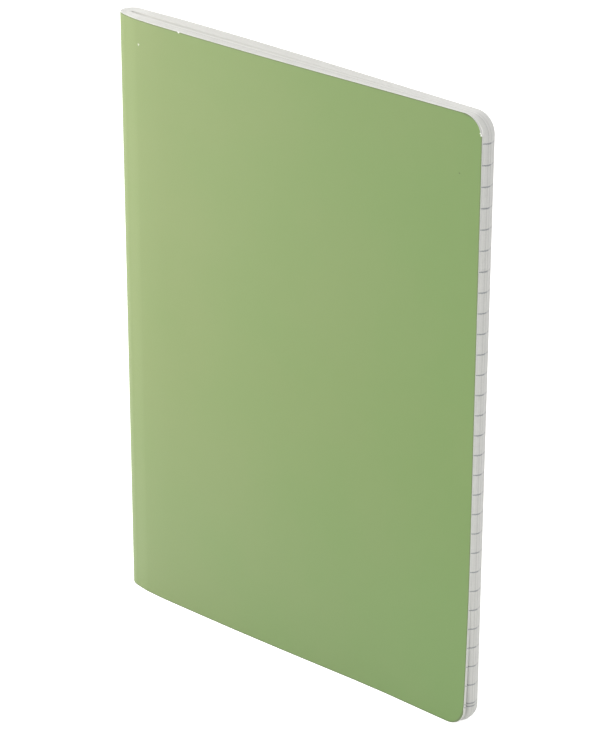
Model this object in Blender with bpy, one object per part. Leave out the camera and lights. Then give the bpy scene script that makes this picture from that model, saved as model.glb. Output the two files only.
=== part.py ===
"""Softcover notebook: a card cover and one section of folded sheets, wire-stitched through the fold.

The notebook stands upright on its bottom edge. The spine is at -X, the fore-edge at +X, and the
front cover faces -Y. The origin is at the middle of the bottom edge.
"""

import math

import bmesh
import bpy
from mathutils import Matrix, Vector

MM = 0.001

# Format of the trimmed notebook
page_height = 210.0 * MM
page_width = 148.0 * MM
corner_radius = 6.5 * MM
corner_steps = 6

# The fore-edge is a blunt nose: the back cover reaches past the front one, and the leaves past both,
# most of all a little nearer to the front. A nose_skew of 1 would put the fullest leaf in the middle
back_reach = 0.9 * MM
middle_reach = 1.0 * MM
nose_skew = 0.75

# Stock
card_thickness = 0.30 * MM
paper_thickness = 0.10 * MM
sheet_count = 18

# Air between one sheet and the next: in the fold, where the section swells, and at the fore-edge
fold_air = 0.10 * MM
swell_air = 0.155 * MM
fore_edge_air = 0.025 * MM
centre_gap = 0.90 * MM
swell_length = 18.0 * MM
swell_steps = 5
fold_steps = 12

# Cover and leaves turn about the edges of the round spine
turning_gap = 0.30 * MM
hinge_stand_off = 0.15 * MM

# Wire staples
wire_diameter = 0.50 * MM
staple_crown = 12.0 * MM
staple_from_end = 52.5 * MM
staple_point = 4.2 * MM
wire_bend_radius = 0.45 * MM
wire_bend_steps = 4
wire_clearance = 0.06 * MM
hole_clearance = 0.10 * MM
hole_sides = 8

# Thickness of half the closed notebook, from its middle plane to the outside of the cover
half_gap = centre_gap / 2
spine_radius = half_gap + sheet_count * (paper_thickness + fold_air) + card_thickness

# Distances along X, counted from the outside of the round spine
fold_end = spine_radius
hinge_line = fold_end + turning_gap / 2
leaf_start = fold_end + turning_gap
swell_end = leaf_start + swell_length
fore_edge = page_width
staple_heights = {"lower": staple_from_end, "upper": page_height - staple_from_end}


def fore_edge_reach(share):
    """X of the edge of the layer that lies this share of the way from front cover to back cover."""
    return fore_edge + back_reach * share + middle_reach * math.sin(math.pi * share**nose_skew)


layer_count = 2 * sheet_count + 2
layer_reach = [fore_edge_reach(layer / (layer_count - 1)) for layer in range(layer_count)]
crown_depth = wire_clearance + wire_diameter
origin_x = (max(layer_reach) - crown_depth) / 2


def ease(share):
    """Smooth step from 0 to 1."""
    return share * share * (3 - 2 * share)


def air_at(x):
    """Air between neighbouring sheets at distance x from the spine."""
    if x < swell_end:
        share = ease((x - leaf_start) / swell_length)
        return fold_air + (swell_air - fold_air) * share
    share = (x - swell_end) / (fore_edge - swell_end)
    return swell_air + (fore_edge_air - swell_air) * share


def half_gap_at(x):
    """Half of the gap that the two innermost leaves leave, which closes where the section swells."""
    if x < swell_end:
        return half_gap * (1 - ease((x - leaf_start) / swell_length))
    return 0.0


def leaf_depth(x, layer):
    """Distance of a leaf's middle from the middle plane; layer 0 is the innermost."""
    return half_gap_at(x) + (layer + 0.5) * (paper_thickness + air_at(x))


def cover_depth(x):
    """Distance of the cover card's middle from the middle plane."""
    return half_gap_at(x) + sheet_count * (paper_thickness + air_at(x)) + card_thickness / 2


def paint(name, colour, roughness, metallic=0.0):
    """Material with one Principled shader."""
    material = bpy.data.materials.new(name)
    material.use_nodes = True
    shader = material.node_tree.nodes["Principled BSDF"]
    shader.inputs["Base Color"].default_value = (*colour, 1.0)
    shader.inputs["Roughness"].default_value = roughness
    shader.inputs["Metallic"].default_value = metallic
    material.diffuse_color = (*colour, 1.0)
    return material


def loft(name, sections, material, origin=(0.0, 0.0, 0.0)):
    """Closed solid through a row of four-cornered sections, with its own origin."""
    shape = bmesh.new()
    rings = [[shape.verts.new(Vector(point) - Vector(origin)) for point in ring] for ring in sections]
    for ring, following in zip(rings, rings[1:]):
        for corner in range(4):
            beside = (corner + 1) % 4
            shape.faces.new((ring[corner], ring[beside], following[beside], following[corner]))
    shape.faces.new(rings[0])
    shape.faces.new(rings[-1])
    bmesh.ops.recalc_face_normals(shape, faces=shape.faces)
    mesh = bpy.data.meshes.new(name)
    shape.to_mesh(mesh)
    shape.free()
    mesh.shade_smooth()
    mesh.set_sharp_from_angle(angle=math.radians(30))
    mesh.materials.append(material)
    solid = bpy.data.objects.new(name, mesh)
    solid.location = origin
    bpy.context.collection.objects.link(solid)
    return solid


def across(point, direction, thickness, bottom, top):
    """Upright section through a sheet: its thickness along direction, from bottom to top."""
    near = point - direction * thickness / 2
    far = point + direction * thickness / 2
    return [(near.x, near.y, bottom), (near.x, near.y, top), (far.x, far.y, top), (far.x, far.y, bottom)]


def outline(reach):
    """Columns of a cover half or leaf: (x, bottom, top), with both fore-edge corners rounded."""
    columns = [leaf_start + swell_length * step / swell_steps for step in range(swell_steps + 1)]
    column_ends = [(x, 0.0, page_height) for x in columns]
    for step in range(corner_steps + 1):
        angle = math.pi / 2 * step / corner_steps
        cut = corner_radius * (1 - math.cos(angle))
        x = reach - corner_radius * (1 - math.sin(angle))
        column_ends.append((x, cut, page_height - cut))
    return column_ends


def flat_half(name, side, depth, reach, thickness, material):
    """One half of the cover or of a sheet, with its origin on the hinge line of its side.

    side is -1 at the front and 1 at the back. depth gives the distance from the middle plane at x.
    """
    hinge = (hinge_line - origin_x, side * (spine_radius + hinge_stand_off), 0.0)
    sections = []
    for x, bottom, top in outline(reach):
        middle = Vector((x - origin_x, side * depth(x), 0.0))
        sections.append(across(middle, Vector((0.0, 1.0, 0.0)), thickness, bottom, top))
    return loft(name, sections, material, hinge)


def round_fold(name, radius, thickness, material):
    """Half ring round the section's centre line: the fold of a sheet, or the round of the cover."""
    sections = []
    for step in range(fold_steps + 1):
        angle = math.pi * step / fold_steps
        outward = Vector((-math.sin(angle), -math.cos(angle), 0.0))
        middle = Vector((fold_end - origin_x, 0.0, 0.0)) + outward * radius
        sections.append(across(middle, outward, thickness, 0.0, page_height))
    return loft(name, sections, material)


def rounded_path(corners, radius, steps):
    """Points along a path whose inner corners are right angles, each turned with this radius."""
    path = [corners[0]]
    for before, corner, after in zip(corners, corners[1:], corners[2:]):
        arriving = (corner - before).normalized()
        leaving = (after - corner).normalized()
        centre = corner + (leaving - arriving) * radius
        for step in range(steps + 1):
            angle = math.pi / 2 * step / steps
            path.append(centre - leaving * radius * math.cos(angle) + arriving * radius * math.sin(angle))
    path.append(corners[-1])
    return path


def staple(name, height, material):
    """Wire staple: crown outside the spine, legs through the fold, points turned in at the centre."""
    crown_x = -origin_x - wire_clearance - wire_diameter / 2
    innermost = fold_end - half_gap
    points_x = innermost - origin_x + wire_clearance + wire_diameter / 2
    half_crown = staple_crown / 2
    corners = [
        Vector((points_x, 0.0, height - half_crown + staple_point)),
        Vector((points_x, 0.0, height - half_crown)),
        Vector((crown_x, 0.0, height - half_crown)),
        Vector((crown_x, 0.0, height + half_crown)),
        Vector((points_x, 0.0, height + half_crown)),
        Vector((points_x, 0.0, height + half_crown - staple_point)),
    ]
    path = rounded_path(corners, wire_bend_radius, wire_bend_steps)
    wire = bpy.data.curves.new(name, "CURVE")
    wire.dimensions = "3D"
    wire.bevel_depth = wire_diameter / 2
    wire.bevel_resolution = 2
    wire.use_fill_caps = True
    wire.materials.append(material)
    spline = wire.splines.new("POLY")
    spline.points.add(len(path) - 1)
    for knot, point in zip(spline.points, path):
        knot.co = (*point, 1.0)
    solid = bpy.data.objects.new(name, wire)
    bpy.context.collection.objects.link(solid)
    return solid


def leg_cutter(heights):
    """Round cutters along X, one where each staple leg pierces the fold; they aren't part of the model."""
    shape = bmesh.new()
    length = spine_radius + turning_gap
    for height in heights:
        made = bmesh.ops.create_cone(
            shape,
            cap_ends=True,
            segments=hole_sides,
            radius1=wire_diameter / 2 + hole_clearance,
            radius2=wire_diameter / 2 + hole_clearance,
            depth=length,
        )
        turned = Matrix.Rotation(math.radians(90), 4, "Y") @ Matrix.Rotation(math.pi / hole_sides, 4, "Z")
        placed = Matrix.Translation((length / 2 - turning_gap - origin_x, 0.0, height)) @ turned
        bmesh.ops.transform(shape, matrix=placed, verts=made["verts"])
    bmesh.ops.recalc_face_normals(shape, faces=shape.faces)
    mesh = bpy.data.meshes.new("leg_cutter")
    shape.to_mesh(mesh)
    shape.free()
    cutter = bpy.data.objects.new("leg_cutter", mesh)
    cutter.hide_render = True
    cutter.display_type = "WIRE"
    bpy.context.collection.objects.link(cutter)
    return cutter


def pierce(solid, cutter):
    """Holes for the staple legs."""
    holes = solid.modifiers.new("leg_holes", "BOOLEAN")
    holes.operation = "DIFFERENCE"
    holes.solver = "EXACT"
    holes.object = cutter


def build_cover(cutter):
    """One folded card: the round spine strip and the two halves that open."""
    card = paint("green_card", (0.33, 0.43, 0.19), 0.45)
    pierce(round_fold("cover_spine", spine_radius - card_thickness / 2, card_thickness, card), cutter)
    flat_half("front_cover", -1, cover_depth, layer_reach[0], card_thickness, card)
    flat_half("back_cover", 1, cover_depth, layer_reach[-1], card_thickness, card)


def build_sheets(cutter):
    """Sheets folded once and nested, numbered from the outermost, each a fold and two leaves."""
    white = paint("ruled_paper", (0.84, 0.84, 0.82), 0.85)
    for number in range(1, sheet_count + 1):
        layer = sheet_count - number
        name = f"sheet_{number:02d}"
        fold_radius = half_gap + (layer + 0.5) * (paper_thickness + fold_air)
        pierce(round_fold(f"{name}_fold", fold_radius, paper_thickness, white), cutter)
        for side, word, reach in ((-1, "front", layer_reach[number]), (1, "back", layer_reach[-1 - number])):
            flat_half(
                f"{name}_{word}_leaf",
                side,
                lambda x, layer=layer: leaf_depth(x, layer),
                reach,
                paper_thickness,
                white,
            )


def build_staples():
    """Two staples, as far from the top as from the bottom."""
    steel = paint("bright_wire", (0.62, 0.62, 0.64), 0.28, 1.0)
    for word, height in staple_heights.items():
        staple(f"staple_{word}", height, steel)


for existing in list(bpy.data.objects):
    bpy.data.objects.remove(existing)

leg_heights = [
    height + end * staple_crown / 2 for height in staple_heights.values() for end in (-1, 1)
]
leg_holes = leg_cutter(leg_heights)
build_cover(leg_holes)
build_sheets(leg_holes)
build_staples()
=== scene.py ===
import math
import random
from collections import namedtuple

import bmesh
import bpy
import numpy as np
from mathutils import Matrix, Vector


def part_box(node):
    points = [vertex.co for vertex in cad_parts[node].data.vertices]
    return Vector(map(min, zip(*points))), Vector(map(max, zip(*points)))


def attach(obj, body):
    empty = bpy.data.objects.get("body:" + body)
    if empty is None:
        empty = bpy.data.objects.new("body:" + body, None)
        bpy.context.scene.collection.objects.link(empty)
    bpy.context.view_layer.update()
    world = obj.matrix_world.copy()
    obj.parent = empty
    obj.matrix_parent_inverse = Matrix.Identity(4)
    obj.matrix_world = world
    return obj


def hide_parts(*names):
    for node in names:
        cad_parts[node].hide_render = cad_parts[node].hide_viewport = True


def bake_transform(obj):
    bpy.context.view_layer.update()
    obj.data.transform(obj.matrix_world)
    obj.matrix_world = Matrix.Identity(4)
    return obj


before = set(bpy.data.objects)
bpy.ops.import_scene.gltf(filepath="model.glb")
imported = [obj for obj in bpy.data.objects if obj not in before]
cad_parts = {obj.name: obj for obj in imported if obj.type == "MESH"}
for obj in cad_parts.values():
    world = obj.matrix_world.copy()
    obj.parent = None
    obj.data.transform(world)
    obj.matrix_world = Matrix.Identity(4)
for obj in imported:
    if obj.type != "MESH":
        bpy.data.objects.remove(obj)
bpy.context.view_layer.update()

# Ruled sheets. Each is one piece of white uncoated writing paper, printed on both sides with grey
# lines that run off the sheet, folded once and nested into the next one. A sheet is a round fold,
# which the staples hold, and two leaves that turn.
MM = 0.001
paper_thickness = 0.11 * MM
cad_paper_thickness = 0.10 * MM
crease_bulk = 0.055 * MM
crease_length = 10.0 * MM
corner_radius = 6.5 * MM
turn_length = 6.0 * MM
swell_length = 18.3 * MM
settle_length = 25.0 * MM
cover_gap = 0.07 * MM
fold_squeeze = 0.74
swell_fullness = 1.045
squeeze_length = 11.0 * MM

spine_low, spine_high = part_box("cover_spine")
page_top = spine_high.z
fold_end = spine_high.x
spine_radius = spine_high.y
swell_end = fold_end + swell_length
sheet_count = sum(name.endswith("_fold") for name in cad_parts)
# Half the width of the opening between the two innermost leaves, at these places along them
opening_places = [fold_end + place * MM for place in (0, 2.5, 8, 16, 27, 50, 100, 150)]
opening_halves = [half * MM for half in (0.45, 0.76, 0.58, 0.66, 0.56, 0.26, 0.08, 0.06)]

same_column = 0.05 * MM
turn_columns, swell_columns, flat_columns, corner_columns = 28, 7, 9, 12
fold_steps = 40
sharp_angle = math.radians(40)

Station = namedtuple("Station", "middle outward thickness along bottom top edge_x")


def ease(share):
    """Smooth step from 0 to 1."""
    share = min(max(share, 0.0), 1.0)
    return share * share * (3 - 2 * share)


def spread(start, end, count):
    """Evenly spaced values, without the last."""
    return [start + (end - start) * step / count for step in range(count)]


def cad_line(node, choose):
    """Depth of an upright CAD sheet on either side of the middle plane, from the spine outwards."""
    columns = []
    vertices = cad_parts[node].data.vertices
    for x, depth in sorted((vertex.co.x, abs(vertex.co.y)) for vertex in vertices):
        if not columns or x - columns[-1][0] > same_column:
            columns.append((x, []))
        columns[-1][1].append(depth)
    places = [fold_end] + [x for x, depths in columns]
    return places, [choose(columns[0][1])] + [choose(depths) for x, depths in columns]


def smooth_along(places, heights, x):
    """Height at x of a smooth curve through the points."""
    after = min(max(int(np.searchsorted(places, x)), 1), len(places) - 1)
    before = after - 1
    span = places[after] - places[before]
    slopes = np.gradient(heights, places)
    t = min(max((x - places[before]) / span, 0.0), 1.0)
    leaving = (1 + 2 * t) * (1 - t) ** 2 * heights[before] + t * (1 - t) ** 2 * span * slopes[before]
    arriving = t * t * (3 - 2 * t) * heights[after] + t * t * (t - 1) * span * slopes[after]
    return leaving + arriving


def corner_cut(x, start):
    """Height that a corner takes off at x, where it starts to round at start."""
    inside = min(max(x - start, 0.0), corner_radius)
    return corner_radius - math.sqrt(corner_radius**2 - inside**2)


def half_columns(reach):
    """Columns of a half sheet, each (x, bottom, top), closer where it turns and round its corners."""
    straight_end = reach - corner_radius
    xs = spread(fold_end, fold_end + turn_length, turn_columns)
    xs += spread(fold_end + turn_length, swell_end, swell_columns)
    xs += spread(swell_end, straight_end, flat_columns)
    quarter = [math.pi / 2 * step / corner_columns for step in range(corner_columns + 1)]
    xs += [straight_end + corner_radius * math.sin(angle) for angle in quarter]
    return [(x, corner_cut(x, straight_end), page_top - corner_cut(x, straight_end)) for x in xs]


def edge_gap(x, z, edge_x):
    """Distance of a point of the sheet from its nearest trimmed edge."""
    across = edge_x - x
    up = min(z, page_top - z)
    if across < corner_radius and up < corner_radius:
        return corner_radius - math.hypot(corner_radius - across, corner_radius - up)
    return min(across, up)


def pressed(x, y):
    """Depth of a point after pressing: in front the fold is flatter, and fullest a little behind it."""
    if y > 0:
        return y
    out = x - spine_low.x
    squeezed = (1 - ease(out / squeeze_length)) * (swell_fullness - fold_squeeze)
    settled = ease((out - squeeze_length) / settle_length) * (swell_fullness - 1)
    return y * (swell_fullness - squeezed - settled)


def still(out, z):
    """No bend of its own."""
    return 0.0


def bent_sheet(name, stations, row_shares, finishes, sway=still):
    """Closed sheet through upright stations, with an outer face, an inner face and cut edges.

    Its flat map gives every corner the place that it has on the unfolded sheet, in metres, and
    edge_gap holds the distance from the nearest trimmed edge.
    """
    shape = bmesh.new()
    layers = {1: [], -1: []}
    flat = {}
    gaps = []
    for station in stations:
        for side, columns in layers.items():
            column = []
            for share in row_shares:
                z = station.bottom + (station.top - station.bottom) * share
                lift = sway(station.middle.x - fold_end, z) + side * station.thickness / 2
                place = station.middle + station.outward * lift
                vertex = shape.verts.new((place.x, pressed(place.x, place.y), z))
                flat[vertex] = (station.along, z)
                gaps.append(edge_gap(station.middle.x, z, station.edge_x))
                column.append(vertex)
            columns.append(column)
    last_row = len(row_shares) - 1
    for side, columns in layers.items():
        for near, far in zip(columns, columns[1:]):
            for row in range(last_row):
                face = shape.faces.new((near[row], far[row], far[row + 1], near[row + 1]))
                face.material_index = 0 if side > 0 else 1
    outer, inner = layers[1], layers[-1]
    for out_end, in_end in ((outer[0], inner[0]), (outer[-1], inner[-1])):
        for row in range(last_row):
            rim = (out_end[row], in_end[row], in_end[row + 1], out_end[row + 1])
            shape.faces.new(rim).material_index = 2
    for near_out, far_out, near_in, far_in in zip(outer, outer[1:], inner, inner[1:]):
        for row in (0, last_row):
            rim = (near_out[row], far_out[row], far_in[row], near_in[row])
            shape.faces.new(rim).material_index = 2
    bmesh.ops.recalc_face_normals(shape, faces=shape.faces)
    map_layer = shape.loops.layers.uv.new("flat")
    for face in shape.faces:
        for loop in face.loops:
            loop[map_layer].uv = flat[loop.vert]
    mesh = bpy.data.meshes.new(name)
    shape.to_mesh(mesh)
    shape.free()
    mesh.attributes.new("edge_gap", "FLOAT", "POINT").data.foreach_set("value", gaps)
    mesh.shade_smooth()
    mesh.set_sharp_from_angle(angle=sharp_angle)
    for finish in finishes:
        mesh.materials.append(finish)
    sheet = bpy.data.objects.new(name, mesh)
    bpy.context.collection.objects.link(sheet)
    return sheet


def half_sheet(name, side, depth, fold_length, columns, row_shares, thickness_at, finishes, sway=still):
    """Front (side -1) or back (side 1) half of a folded sheet; depth is its distance from the middle.

    On the flat map the front half runs forwards from the fold, and the back half backwards.
    """
    stations = []
    edge_x = columns[-1][0]
    outward = Vector((0, side))
    for x, bottom, top in columns:
        along = x - fold_end if side < 0 else fold_end - x - fold_length
        middle = Vector((x, side * depth(x)))
        stations.append(Station(middle, outward, thickness_at(x), along, bottom, top, edge_x))
    return bent_sheet(name, stations, row_shares, finishes, sway)


def round_fold(name, radius, heights, thickness, finishes):
    """Half ring round the middle of the section, where a sheet or the cover is folded."""
    stations = []
    for step in range(fold_steps + 1):
        angle = math.pi * step / fold_steps
        outward = Vector((-math.sin(angle), -math.cos(angle)))
        middle = Vector((fold_end, 0.0)) + outward * radius
        along = -radius * angle
        stations.append(Station(middle, outward, thickness, along, 0.0, page_top, math.inf))
    return bent_sheet(name, stations, [height / page_top for height in heights], finishes)


def mark(piece, name, at_fold, far_out):
    """Stores a value over the piece, for its finishes to use; it may change away from the fold."""
    mesh = piece.data
    shares = [ease((vertex.co.x - fold_end) / settle_length) for vertex in mesh.vertices]
    values = [at_fold + (far_out - at_fold) * share for share in shares]
    mesh.attributes.new(name, "FLOAT", "POINT").data.foreach_set("value", values)


def new_group(name, inputs, outputs):
    """Empty shader node group with its sockets: (kind, name, value) going in, (kind, name) out.

    Returns the group, what it is given and what it has to make.
    """
    group = bpy.data.node_groups.new(name, "ShaderNodeTree")
    for kind, socket, value in inputs:
        entry = group.interface.new_socket(socket, in_out="INPUT", socket_type=f"NodeSocket{kind}")
        if value is not None:
            entry.default_value = value
    for kind, socket in outputs:
        group.interface.new_socket(socket, in_out="OUTPUT", socket_type=f"NodeSocket{kind}")
    given = group.nodes.new("NodeGroupInput").outputs
    made = group.nodes.new("NodeGroupOutput").inputs
    return group, given, made


def feed(tree, socket, value):
    """Joins another node's output to a socket, or sets the socket's own value."""
    if isinstance(value, bpy.types.NodeSocket):
        tree.links.new(value, socket)
    else:
        socket.default_value = value


def reckon(tree, operation, first, second=0.0, third=0.0):
    """Result of a Math node."""
    node = tree.nodes.new("ShaderNodeMath")
    node.operation = operation
    for socket, value in zip(node.inputs, (first, second, third)):
        feed(tree, socket, value)
    return node.outputs[0]


def remap(tree, value, low, high, new_low=0.0, new_high=1.0, smooth=True):
    """Value brought from one range into another."""
    node = tree.nodes.new("ShaderNodeMapRange")
    node.interpolation_type = "SMOOTHSTEP" if smooth else "LINEAR"
    names = ("Value", "From Min", "From Max", "To Min", "To Max")
    for name, given in zip(names, (value, low, high, new_low, new_high)):
        feed(tree, node.inputs[name], given)
    return node.outputs[0]


def noise(tree, place, scale, detail=2.0, stretch=(1.0, 1.0, 1.0)):
    """Noise from 0 to 1; scale is in spots per metre."""
    stretched = tree.nodes.new("ShaderNodeVectorMath")
    stretched.operation = "MULTIPLY"
    feed(tree, stretched.inputs[0], place)
    stretched.inputs[1].default_value = stretch
    node = tree.nodes.new("ShaderNodeTexNoise")
    feed(tree, node.inputs["Vector"], stretched.outputs[0])
    node.inputs["Scale"].default_value = scale
    node.inputs["Detail"].default_value = detail
    return node.outputs["Fac"]


def blend_colours(tree, share, first, second, mode="MIX"):
    """Colour between two colours."""
    node = tree.nodes.new("ShaderNodeMix")
    node.data_type = "RGBA"
    node.blend_type = mode
    feed(tree, node.inputs[0], share)
    feed(tree, node.inputs[6], first)
    feed(tree, node.inputs[7], second)
    return node.outputs[2]


def place_group(tree, group, **values):
    """A node group placed in a tree with its own values; returns its outputs."""
    node = tree.nodes.new("ShaderNodeGroup")
    node.node_tree = group
    for name, value in values.items():
        feed(tree, node.inputs[name.replace("_", " ").title()], value)
    return node.outputs


def new_material(name, roughness, specular=0.5):
    """Material with a Principled shader; returns it, its node tree and its shader."""
    material = bpy.data.materials.new(name)
    material.use_nodes = True
    shader = material.node_tree.nodes["Principled BSDF"]
    shader.inputs["Roughness"].default_value = roughness
    shader.inputs["Specular IOR Level"].default_value = specular
    return material, material.node_tree, shader


def flat_place(tree):
    """Place on the unfolded sheet, in metres: a vector, its distance along it and its height."""
    node = tree.nodes.new("ShaderNodeUVMap")
    node.uv_map = "flat"
    parts = tree.nodes.new("ShaderNodeSeparateXYZ")
    tree.links.new(node.outputs["UV"], parts.inputs[0])
    return node.outputs["UV"], parts.outputs["X"], parts.outputs["Y"]


def named_value(tree, name):
    """Value stored on the mesh."""
    node = tree.nodes.new("ShaderNodeAttribute")
    node.attribute_name = name
    return node.outputs["Fac"]


def bump(tree, shader, height, distance):
    """Fine relief; distance is in metres."""
    node = tree.nodes.new("ShaderNodeBump")
    node.inputs["Distance"].default_value = distance
    feed(tree, node.inputs["Height"], height)
    tree.links.new(node.outputs["Normal"], shader.inputs["Normal"])


def fibre_group():
    """Uncoated paper and board: cloudy formation, fibres along the sheet and a felt-like surface."""
    group, given, made = new_group(
        "paper_fibre",
        [("Vector", "Place", None), ("Float", "Contrast", 0.04)],
        [("Float", "Shade"), ("Float", "Relief")],
    )
    clouds = noise(group, given["Place"], scale=420.0, detail=3.0)
    fibres = noise(group, given["Place"], scale=2600.0, detail=3.0, stretch=(0.35, 1.0, 1.0))
    centred = reckon(group, "SUBTRACT", reckon(group, "ADD", clouds, fibres), 1.0)
    feed(group, made["Shade"], reckon(group, "MULTIPLY_ADD", centred, given["Contrast"], 1.0))
    feed(group, made["Relief"], fibres)
    return group


def ruling_group():
    """Ruled lines: evenly spaced from the first line down, and one more close under the last."""
    group, given, made = new_group(
        "ruled_lines",
        [
            ("Float", "Height Up", 0.0),
            ("Float", "First Line", 0.2017),
            ("Float", "Spacing", 0.0069),
            ("Float", "Intervals", 28.0),
            ("Float", "Double Gap", 0.0011),
            ("Float", "Line Width", 0.0003),
        ],
        [("Float", "Ink")],
    )
    below_first = reckon(group, "SUBTRACT", given["First Line"], given["Height Up"])
    lines_down = reckon(group, "DIVIDE", below_first, given["Spacing"])
    nearest = reckon(group, "ROUND", lines_down)
    counted = reckon(group, "MINIMUM", reckon(group, "MAXIMUM", nearest, 0.0), given["Intervals"])
    off_line = reckon(group, "ABSOLUTE", reckon(group, "SUBTRACT", lines_down, counted))
    distance = reckon(group, "MULTIPLY", off_line, given["Spacing"])
    last_depth = reckon(group, "MULTIPLY_ADD", given["Spacing"], given["Intervals"], given["Double Gap"])
    second = reckon(group, "ABSOLUTE", reckon(group, "SUBTRACT", below_first, last_depth))
    closest = reckon(group, "MINIMUM", distance, second)
    solid = reckon(group, "MULTIPLY", given["Line Width"], 0.35)
    gone = reckon(group, "MULTIPLY", given["Line Width"], 0.65)
    feed(group, made["Ink"], remap(group, closest, solid, gone, new_low=1.0, new_high=0.0))
    return group


paper_fibre = fibre_group()
ruled_lines = ruling_group()
paper_white = (0.80, 0.80, 0.775, 1.0)
edge_white = (0.78, 0.78, 0.755, 1.0)
ink_grey = (0.25, 0.27, 0.30, 1.0)


def page_finish():
    """Printed face of a leaf: white, a little uneven, with grey lines."""
    material, tree, shader = new_material("ruled_page", 0.82, 0.25)
    place, _, height_up = flat_place(tree)
    fibre = place_group(tree, paper_fibre, place=place, contrast=0.05)
    ink = place_group(tree, ruled_lines, height_up=height_up)["Ink"]
    taken = remap(tree, noise(tree, place, scale=5200.0), low=0.2, high=0.7, new_low=0.72)
    printed = reckon(tree, "MULTIPLY", ink, taken)
    white = blend_colours(tree, 1.0, paper_white, fibre["Shade"], "MULTIPLY")
    feed(tree, shader.inputs["Base Color"], blend_colours(tree, printed, white, ink_grey))
    bump(tree, shader, fibre["Relief"], distance=0.012 * MM)
    return material


def page_edge_finish():
    """Cut edge of a leaf: fine scores from the blade, and ink that shows where each line runs off.

    Every leaf has its own shade of white and strength of ink, and its lines are a little higher
    or lower. Two front leaves have darker cut edges, a painted shade between the leaves.
    """
    material, tree, shader = new_material("page_edge", 0.9, 0.2)
    place, _, height_up = flat_place(tree)
    shifted = reckon(tree, "ADD", height_up, named_value(tree, "line_shift"))
    ink = place_group(tree, ruled_lines, height_up=shifted, line_width=0.0005)["Ink"]
    bled = reckon(tree, "MULTIPLY", ink, named_value(tree, "bleed"))
    fibre = place_group(tree, paper_fibre, place=place, contrast=0.10)
    # The tone carries each leaf's own shade, and the painted shade of two front leaves.
    toned = reckon(tree, "MULTIPLY", fibre["Shade"], named_value(tree, "tone_and_painted_shade"))
    cut = blend_colours(tree, 1.0, edge_white, toned, "MULTIPLY")
    feed(tree, shader.inputs["Base Color"], blend_colours(tree, bled, cut, ink_grey))
    bump(tree, shader, fibre["Relief"], distance=0.02 * MM)
    return material


page_face = page_finish()
leaf_finishes = (page_face, page_face, page_edge_finish())
page_row_count = 13
page_rows = spread(0.0, 1.0, page_row_count) + [1.0]
inside_lines = {word: cad_line(f"{word}_cover", min) for word in ("front", "back")}
slack_range = (0.4, 1.6)


def leaf_depth(word, layer):
    """Distance of a leaf from the middle plane along it; layer 0 is the innermost.

    The leaves share the room between the opening in the middle and the cover, evenly where they
    leave the folds and less evenly further out.
    """
    draw = random.Random(word)
    slack = [draw.uniform(*slack_range) for _ in range(sheet_count + 1)]
    passed = sum(slack[: layer + 1]) / sum(slack)

    def depth(x):
        settled = ease((x - fold_end) / settle_length)
        near = smooth_along(opening_places, opening_halves, x)
        room = smooth_along(*inside_lines[word], x) - cover_gap * settled - near
        even = room * (layer + 0.5) / sheet_count
        air = room - sheet_count * paper_thickness
        uneven = (layer + 0.5) * paper_thickness + air * passed
        return near + even + (uneven - even) * settled

    return depth


wave_count = 3
wave_height = 0.10 * MM
wave_rates_out = (18, 70)
wave_rates_up = (8, 30)
wave_start = 12 * MM
wave_reach = 30 * MM
wave_fade = 50 * MM


def ripple(word, layer):
    """Slight waviness that the leaves of a half share: none at the fold, under the cover and far out."""
    draw = random.Random(f"{word} waves")
    waves = [
        (draw.uniform(*wave_rates_out), draw.uniform(*wave_rates_up), draw.uniform(0, math.tau))
        for _ in range(wave_count)
    ]
    swing = wave_height * math.sin(math.pi * (layer + 0.5) / sheet_count) / wave_count

    def sway(out, z):
        held = ease(out / wave_start) * math.exp(-max(out - wave_reach, 0.0) / wave_fade)
        return swing * held * sum(math.sin(a * out + b * z + c) for a, b, c in waves)

    return sway


flare_height = 60.0 * MM
flare_length = 45.0 * MM
flare_sharpness = 1.6


def corner_flare(lift, reach, under=still):
    """The lower fore-edge corner bends outwards by lift, on top of another bend."""

    def sway(out, z):
        low = max(1 - z / flare_height, 0.0)
        far = 1 - (reach - fold_end - out) / flare_length
        return under(out, z) + lift * low**flare_sharpness * ease(far)

    return sway


staple_boxes = {word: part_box(f"staple_{word}") for word in ("lower", "upper")}
wire_radius = staple_boxes["lower"][1].y
leg_heights = []
for box_low, box_high in staple_boxes.values():
    leg_heights += [box_low.z + wire_radius, box_high.z - wire_radius]
beside_leg = 1.2 * MM
beside_heights = [leg + side * beside_leg for leg in leg_heights for side in (-1, 1)]
fold_heights = sorted([0.0, page_top] + beside_heights)
leg_room = 1.12
punch_overlap = 1 * MM
punch_sides = 20


def leg_punch():
    """Round punch for the staple legs, which is removed again."""
    shape = bmesh.new()
    depth = spine_radius + punch_overlap
    radius = wire_radius * leg_room
    for leg in leg_heights:
        made = bmesh.ops.create_cone(
            shape, cap_ends=True, segments=punch_sides, radius1=radius, radius2=radius, depth=depth
        )
        for vertex in made["verts"]:
            x, y, z = vertex.co
            vertex.co = (fold_end - depth / 2 + z, y, leg + x)
    bmesh.ops.recalc_face_normals(shape, faces=shape.faces)
    mesh = bpy.data.meshes.new("leg_punch")
    shape.to_mesh(mesh)
    shape.free()
    punch = bpy.data.objects.new("leg_punch", mesh)
    bpy.context.collection.objects.link(punch)
    return punch


def pierce(piece, punch):
    """Holes that the staple legs made, cut into the mesh itself."""
    cut = piece.modifiers.new("legs", "BOOLEAN")
    cut.operation = "DIFFERENCE"
    cut.object = punch
    bpy.context.view_layer.update()
    evaluated = piece.evaluated_get(bpy.context.evaluated_depsgraph_get())
    pierced = bpy.data.meshes.new_from_object(evaluated)
    piece.modifiers.clear()
    pierced.shade_smooth()
    pierced.set_sharp_from_angle(angle=sharp_angle)
    piece.data = pierced


def leaf_thickness(x):
    """Thickness of the paper, with the little bulk that it has at the crease."""
    return paper_thickness + crease_bulk * (1 - ease((x - fold_end) / crease_length))


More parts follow.
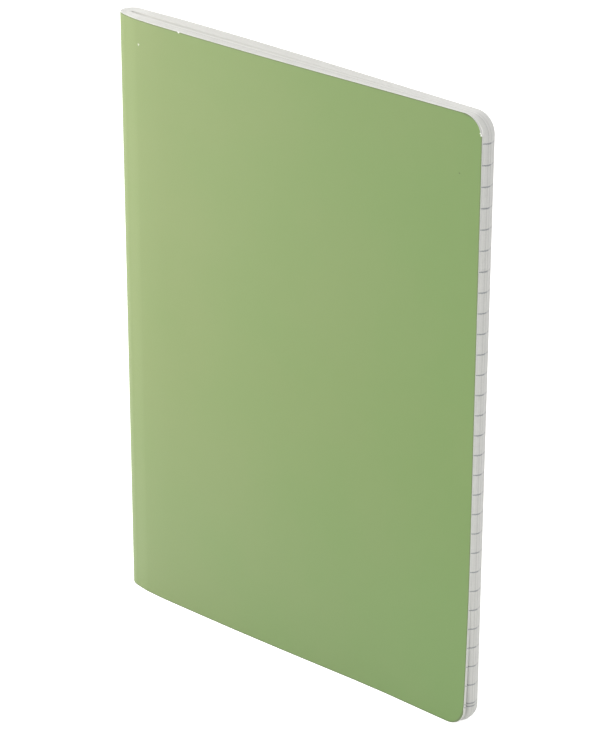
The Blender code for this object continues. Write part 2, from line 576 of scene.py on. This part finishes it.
line_error = 0.12 * MM
trim_error = 0.05 * MM
tone_range = (0.93, 1.0)
# Front leaves 11 and 12 get darker cut edges, a painted shade between leaves; 14 and 15 are a little
# lighter.
front_tones_with_painted_shade = {11: 0.76, 12: 0.80, 14: 1.05, 15: 1.05}
bleeds = {"front": 0.64, "back": 0.24}
sheet_flares = {1: 1.40 * MM, 2: 1.40 * MM, 3: 0.22 * MM, 4: 0.08 * MM}
loose_lift, loose_bleed = 1.0 * MM, 0.14

punch = leg_punch()
for number in range(1, sheet_count + 1):
    label = f"{number:02d}"
    layer = sheet_count - number
    draw = random.Random(label)
    line_shift = draw.uniform(-line_error, line_error)
    tone_and_painted_shade = draw.uniform(*tone_range)
    node = f"sheet_{label}_fold"
    fold_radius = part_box(node)[1].y - cad_paper_thickness / 2
    thickness = leaf_thickness(fold_end)
    fold = round_fold(f"fold_{label}", fold_radius, fold_heights, thickness, leaf_finishes)
    pierce(fold, punch)
    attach(fold, "spine")
    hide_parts(node)
    pieces = [(fold, tone_and_painted_shade, 0.0)]
    for word, side in (("front", -1), ("back", 1)):
        node = f"sheet_{label}_{word}_leaf"
        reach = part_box(node)[1].x + draw.uniform(-trim_error, trim_error)
        sway = ripple(word, layer)
        bleed = bleeds[word]
        if word == "front" and number in sheet_flares:
            flare = sheet_flares[number]
            sway = corner_flare(flare, reach, sway)
            bleed = loose_bleed if flare > loose_lift else bleed
        leaf = half_sheet(
            f"leaf_{label}_{word}",
            side,
            leaf_depth(word, layer),
            math.pi * fold_radius,
            half_columns(reach),
            page_rows,
            leaf_thickness,
            leaf_finishes,
            sway,
        )
        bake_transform(leaf)
        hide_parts(node)
        tone = front_tones_with_painted_shade.get(number, tone_and_painted_shade) if word == "front" else tone_and_painted_shade
        pieces.append((leaf, tone, bleed))
    for piece, tone, bleed in pieces:
        mark(piece, "line_shift", line_shift, line_shift)
        mark(piece, "tone_and_painted_shade", tone_and_painted_shade, tone)
        mark(piece, "bleed", bleed, bleed)


# Cover. One piece of card with a white core, printed green and laminated silk-matt on the outside,
# plain white inside, folded round the section and trimmed with it. The lower fore-edge corner of the
# front half springs away from the leaves, and its edges are slightly rubbed.
card_thickness = 0.30 * MM
cover_flare = 1.38 * MM
overcut = 0.45 * MM
step_top = 5.0 * MM
step_drop = 0.85 * MM
full_rim = 0.27 * MM
rim_fade_width = 0.45 * MM


def wear_group():
    """Rubbed edge: strongest at the trimmed edge, broken up by noise, gone within its reach."""
    group, given, made = new_group(
        "rubbed_edge",
        [("Vector", "Place", None), ("Float", "Gap", 0.0), ("Float", "Reach", 0.00025)],
        [("Float", "Rub")],
    )
    inward = reckon(group, "DIVIDE", given["Gap"], given["Reach"])
    worn = reckon(group, "SUBTRACT", noise(group, given["Place"], scale=350.0, detail=4.0), inward)
    feed(group, made["Rub"], remap(group, worn, low=0.45, high=0.8))
    return group


def spot_group():
    """One small uneven spot round a place on the flat map."""
    group, given, made = new_group(
        "small_spot",
        [("Vector", "Place", None), ("Vector", "Middle", None), ("Float", "Radius", 0.0004)],
        [("Float", "Spot")],
    )
    apart = group.nodes.new("ShaderNodeVectorMath")
    apart.operation = "DISTANCE"
    feed(group, apart.inputs[0], given["Place"])
    feed(group, apart.inputs[1], given["Middle"])
    uneven = noise(group, given["Place"], scale=2500.0)
    ragged = remap(group, uneven, low=0.3, high=0.7, new_low=0.75, new_high=1.3)
    distance = reckon(group, "MULTIPLY", apart.outputs["Value"], ragged)
    radii_away = reckon(group, "DIVIDE", distance, given["Radius"])
    spot = remap(group, radii_away, low=0.7, high=1.1, new_low=1.0, new_high=0.0)
    feed(group, made["Spot"], spot)
    return group


def dust_group():
    """Scattered dust: a few tiny dots, far apart."""
    group, given, made = new_group(
        "dust_dots",
        [
            ("Vector", "Place", None),
            ("Float", "Spread", 60.0),
            ("Float", "Size", 0.012),
            ("Float", "Rarity", 0.6),
        ],
        [("Float", "Dot")],
    )
    cells = group.nodes.new("ShaderNodeTexVoronoi")
    feed(group, cells.inputs["Vector"], given["Place"])
    feed(group, cells.inputs["Scale"], given["Spread"])
    drawn = group.nodes.new("ShaderNodeSeparateColor")
    feed(group, drawn.inputs[0], cells.outputs["Color"])
    size = reckon(group, "MULTIPLY", given["Size"], drawn.outputs[0])
    chosen = reckon(group, "GREATER_THAN", drawn.outputs[1], given["Rarity"])
    dot = reckon(group, "LESS_THAN", cells.outputs["Distance"], size)
    feed(group, made["Dot"], reckon(group, "MULTIPLY", dot, chosen))
    return group


rubbed_edge = wear_group()
small_spot = spot_group()
dust_dots = dust_group()
front_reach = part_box("front_cover")[1].x - fold_end
# The green near the fold is painted yellower, a painted sheen.
green_at_spine_with_painted_sheen = (0.228, 0.300, 0.114, 1.0)
green_at_edge = (0.190, 0.298, 0.095, 1.0)
foot_tint = (1.02, 1.035, 1.17, 1.0)
foot_height = 110 * MM
rim_green = (0.115, 0.135, 0.080, 1.0)
rim_strength = 0.55
speck_green = (0.08, 0.12, 0.05, 1.0)
core_white = (0.88, 0.885, 0.86, 1.0)
inside_white = (0.78, 0.78, 0.75, 1.0)
dust_strength, pale_strength, dark_strength = 0.25, 0.45, 0.6
chips = [
    ((front_reach - 0.75 * MM, page_top - step_top - 0.1 * MM, 0.0), 0.28 * MM),
    ((front_reach - 0.30 * MM, page_top - step_top - 0.6 * MM, 0.0), 0.40 * MM),
    ((24.7 * MM, page_top, 0.0), 0.45 * MM),
]
pale_speck = ((6.9 * MM, 201.6 * MM, 0.0), 0.38 * MM)
dark_speck = ((135.7 * MM, 190.4 * MM, 0.0), 0.30 * MM)


def green_finish():
    """Green print under a silk-matt film, with faint mottling, dust, specks, chips and rubbed edges.

    It is painted a little yellower towards the fold, as a painted sheen, a little bluer at the foot,
    and darker in a thin band along its trimmed edges.
    """
    material, tree, shader = new_material("green_laminate", 0.42, 0.5)
    place, along, height_up = flat_place(tree)

    def spot(middle, radius):
        return place_group(tree, small_spot, place=place, middle=middle, radius=radius)["Spot"]

    def touch(colour, mask, strength, other):
        return blend_colours(tree, reckon(tree, "MULTIPLY", mask, strength), colour, other)

    grain = noise(tree, place, scale=1500.0)
    clouds = noise(tree, place, scale=26.0, detail=3.0)
    mottle = remap(tree, clouds, low=0.3, high=0.7, new_low=-0.12, new_high=0.12)
    across = reckon(tree, "DIVIDE", reckon(tree, "ABSOLUTE", along), front_reach)
    # Painted sheen: the green turns yellower towards the fold.
    colour = blend_colours(tree, reckon(tree, "ADD", across, mottle), green_at_spine_with_painted_sheen, green_at_edge)
    foot = remap(tree, height_up, 0.0, foot_height, new_low=1.0, new_high=0.0)
    colour = blend_colours(tree, foot, colour, foot_tint, "MULTIPLY")
    dots = place_group(tree, dust_dots, place=place)["Dot"]
    colour = touch(colour, dots, dust_strength, core_white)
    colour = touch(colour, spot(*pale_speck), pale_strength, core_white)
    colour = touch(colour, spot(*dark_speck), dark_strength, speck_green)
    inward = named_value(tree, "edge_gap")
    # Darker in a thin band along the trimmed edges.
    rim = remap(tree, inward, full_rim, rim_fade_width, new_low=rim_strength, new_high=0.0)
    colour = blend_colours(tree, rim, colour, rim_green)
    bare = place_group(tree, rubbed_edge, place=place, gap=inward)["Rub"]
    for middle, radius in chips:
        bare = reckon(tree, "MAXIMUM", bare, spot(middle, radius))
    feed(tree, shader.inputs["Base Color"], blend_colours(tree, bare, colour, core_white))
    dullness = remap(tree, grain, low=0.2, high=0.8, new_low=0.38, new_high=0.48)
    feed(tree, shader.inputs["Roughness"], dullness)
    bump(tree, shader, grain, distance=0.006 * MM)
    return material


def bare_card_finish(name, colour, contrast, relief):
    """Card without film: its uncoated inside, or its cut edge."""
    material, tree, shader = new_material(name, 0.85, 0.25)
    fibre = place_group(tree, paper_fibre, place=flat_place(tree)[0], contrast=contrast)
    shaded = blend_colours(tree, 1.0, colour, fibre["Shade"], "MULTIPLY")
    feed(tree, shader.inputs["Base Color"], shaded)
    bump(tree, shader, fibre["Relief"], relief)
    return material


def overcut_corner(columns):
    """The same columns with the top corner cut a little too deep, down to a small step above its end."""
    reach = columns[-1][0]
    start = reach - corner_radius - overcut
    step_x = start + math.sqrt(corner_radius**2 - (corner_radius - step_top) ** 2)
    cut = [(x, bottom, page_top - corner_cut(x, start)) for x, bottom, _ in columns if x < step_x]
    cut.append((step_x, corner_cut(step_x, reach - corner_radius), page_top - step_top))
    for x, bottom, _ in columns:
        if x > step_x:
            past = (x - step_x) / (reach - step_x)
            cut.append((x, bottom, page_top - step_top - step_drop * past))
    return cut


cover_finishes = (
    green_finish(),
    bare_card_finish("card_inside", inside_white, contrast=0.06, relief=0.015 * MM),
    bare_card_finish("card_core", core_white, contrast=0.12, relief=0.03 * MM),
)
flared_share = 0.3
flared_rows, upper_rows = 14, 12
cover_rows = spread(0.0, flared_share, flared_rows) + spread(flared_share, 1.0, upper_rows) + [1.0]
cover_ring = spine_radius - card_thickness / 2
spine_card = round_fold("cover_round", cover_ring, fold_heights, card_thickness, cover_finishes)
pierce(spine_card, punch)
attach(spine_card, "spine")
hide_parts("cover_spine")
for word, side in (("front", -1), ("back", 1)):
    node = f"{word}_cover"
    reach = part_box(node)[1].x
    middle_line = cad_line(node, np.mean)
    columns = half_columns(reach)
    sway = still
    if word == "front":
        columns = overcut_corner(columns)
        sway = corner_flare(cover_flare, reach)
    card = half_sheet(
        f"{word}_card",
        side,
        lambda x: smooth_along(*middle_line, x),
        math.pi * spine_radius,
        columns,
        cover_rows,
        lambda x: card_thickness,
        cover_finishes,
        sway,
    )
    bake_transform(card)
    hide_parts(node)
bpy.data.objects.remove(punch)


# Staples. Two pieces of bright round steel wire, driven through the fold from the outside and
# clinched in the middle opening, where their points turn towards each other.
bend_radius = 0.45 * MM
bend_steps = 8
point_length = 4.2 * MM
point_lean = 0.12 * MM
steel_dark = (0.50, 0.50, 0.51, 1.0)
steel_light = (0.72, 0.72, 0.73, 1.0)


def wire_path(low, high):
    """Points along a staple, from one point round the crown to the other."""
    back, front = high.x - wire_radius, low.x + wire_radius
    bottom, top = low.z + wire_radius, high.z - wire_radius
    corners = [
        Vector((back - point_lean, 0.0, bottom + point_length)),
        Vector((back, 0.0, bottom)),
        Vector((front, 0.0, bottom)),
        Vector((front, 0.0, top)),
        Vector((back, 0.0, top)),
        Vector((back - point_lean, 0.0, top - point_length)),
    ]
    path = [corners[0]]
    for before, corner, after in zip(corners, corners[1:], corners[2:]):
        start = corner + (before - corner).normalized() * bend_radius
        end = corner + (after - corner).normalized() * bend_radius
        for step in range(bend_steps + 1):
            t = step / bend_steps
            path.append(start * (1 - t) ** 2 + corner * 2 * t * (1 - t) + end * t * t)
    path.append(corners[-1])
    return path


def steel_finish():
    """Drawn steel wire: fine marks along it and a faint dull film."""
    material, tree, shader = new_material("drawn_steel", 0.3)
    shader.inputs["Metallic"].default_value = 1.0
    place = tree.nodes.new("ShaderNodeTexCoord").outputs["Object"]
    marks = noise(tree, place, scale=9000.0, stretch=(1.0, 1.0, 0.05))
    feed(tree, shader.inputs["Base Color"], blend_colours(tree, marks, steel_dark, steel_light))
    dullness = remap(tree, marks, low=0.2, high=0.8, new_low=0.2, new_high=0.42)
    feed(tree, shader.inputs["Roughness"], dullness)
    bump(tree, shader, marks, distance=0.008 * MM)
    return material


wire_steel = steel_finish()
for word in ("lower", "upper"):
    path = wire_path(*staple_boxes[word])
    curve = bpy.data.curves.new(f"wire_{word}", "CURVE")
    curve.dimensions = "3D"
    curve.bevel_depth = wire_radius
    curve.bevel_resolution = 4
    curve.use_fill_caps = True
    curve.materials.append(wire_steel)
    spline = curve.splines.new("POLY")
    spline.points.add(len(path) - 1)
    for knot, point in zip(spline.points, path):
        knot.co = (*point, 1.0)
    wire = bpy.data.objects.new(f"wire_{word}", curve)
    bpy.context.collection.objects.link(wire)
    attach(wire, "spine")
    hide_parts(f"staple_{word}")


# Floor. A plain sheet of white studio board that the notebook stands on. It looks as bright as the
# white room behind it, so that only the closest contact shadow is left.
floor_size = 6.0
floor_glow = 0.80
board_dark = (0.85, 0.85, 0.85, 1.0)
board_light = (0.89, 0.89, 0.89, 1.0)
no_glow, white_glow = (0.0, 0.0, 0.0, 1.0), (1.0, 1.0, 1.0, 1.0)


def floor_finish():
    """White board with a faint tooth; its glow is only for the camera."""
    material, tree, shader = new_material("studio_floor", 0.9, 0.1)
    tooth = noise(tree, tree.nodes.new("ShaderNodeTexCoord").outputs["Object"], scale=300.0)
    feed(tree, shader.inputs["Base Color"], blend_colours(tree, tooth, board_dark, board_light))
    seen = tree.nodes.new("ShaderNodeLightPath").outputs["Is Camera Ray"]
    feed(tree, shader.inputs["Emission Color"], blend_colours(tree, seen, no_glow, white_glow))
    shader.inputs["Emission Strength"].default_value = floor_glow
    return material


def lay_floor():
    """Square floor at the height of the bottom edge."""
    shape = bmesh.new()
    bmesh.ops.create_grid(shape, x_segments=8, y_segments=8, size=floor_size / 2)
    mesh = bpy.data.meshes.new("floor")
    shape.to_mesh(mesh)
    shape.free()
    mesh.materials.append(floor_finish())
    floor = bpy.data.objects.new("floor", mesh)
    bpy.context.collection.objects.link(floor)


lay_floor()


# Light. A white room that is brightest overhead, a large soft key from the upper left in front of
# the spine, and a weak low fill to the right of the fore-edge.
wall_strength, ceiling_strength = 0.16, 1.12
key_place, key_size, key_power = Vector((-0.504, -0.36, 0.34)), 0.36, 3.7
key_colour = (1.0, 0.97, 0.92)
fill_place, fill_size, fill_power = Vector((0.42, -0.16, 0.10)), 0.30, 0.14
fill_colour = (1.0, 1.0, 1.0)
lit_point = Vector((0.0, 0.0, 0.1))


def light_room():
    """Room light that grows with height; the camera sees the room as plain white."""
    world = bpy.data.worlds.new("white_room")
    world.use_nodes = True
    tree = world.node_tree
    direction = tree.nodes.new("ShaderNodeSeparateXYZ")
    tree.links.new(tree.nodes.new("ShaderNodeTexCoord").outputs["Generated"], direction.inputs[0])
    overhead = reckon(tree, "MAXIMUM", direction.outputs["Z"], 0.0)
    lighting = reckon(tree, "MULTIPLY_ADD", overhead, ceiling_strength, wall_strength)
    seen = tree.nodes.new("ShaderNodeLightPath").outputs["Is Camera Ray"]
    background = tree.nodes["Background"]
    background.inputs["Color"].default_value = (1.0, 1.0, 1.0, 1.0)
    strength = remap(tree, seen, low=0.0, high=1.0, new_low=lighting, new_high=1.0, smooth=False)
    feed(tree, background.inputs["Strength"], strength)
    bpy.context.scene.world = world


def soft_light(name, place, size, power, colour):
    """Square area light, turned to the notebook."""
    data = bpy.data.lights.new(name, "AREA")
    data.size = size
    data.energy = power
    data.color = colour
    light = bpy.data.objects.new(name, data)
    light.location = place
    light.rotation_euler = (lit_point - place).to_track_quat("-Z", "Y").to_euler()
    bpy.context.collection.objects.link(light)


light_room()
soft_light("key", key_place, key_size, key_power, key_colour)
soft_light("fill", fill_place, fill_size, fill_power, fill_colour)
bpy.context.scene.view_settings.view_transform = "Standard"


# Camera. It looks down from the right of the fore-edge with a long lens, as the photograph does.
# The focal length is in pixels of the photograph, whose longer side is its height.
camera_azimuth = math.radians(40.15)
camera_elevation = math.radians(25.556)
camera_roll = math.radians(-0.180)
camera_distance = 1.00714
camera_aim = Vector((0.00235, 0.0022, 0.10473))
frame_height = 735
focal_length = 3115.5
sensor = 36.0

away = Vector((
    math.sin(camera_azimuth) * math.cos(camera_elevation),
    -math.cos(camera_azimuth) * math.cos(camera_elevation),
    math.sin(camera_elevation),
))
lens = bpy.data.cameras.new("camera")
lens.sensor_width = sensor
lens.lens = focal_length * sensor / frame_height
lens.clip_start = 0.05
camera = bpy.data.objects.new("camera", lens)
camera.location = camera_aim + away * camera_distance
camera.rotation_euler = (-away).to_track_quat("-Z", "Y").to_euler()
camera.rotation_euler.rotate_axis("Z", -camera_roll)
bpy.context.collection.objects.link(camera)
bpy.context.scene.camera = camera
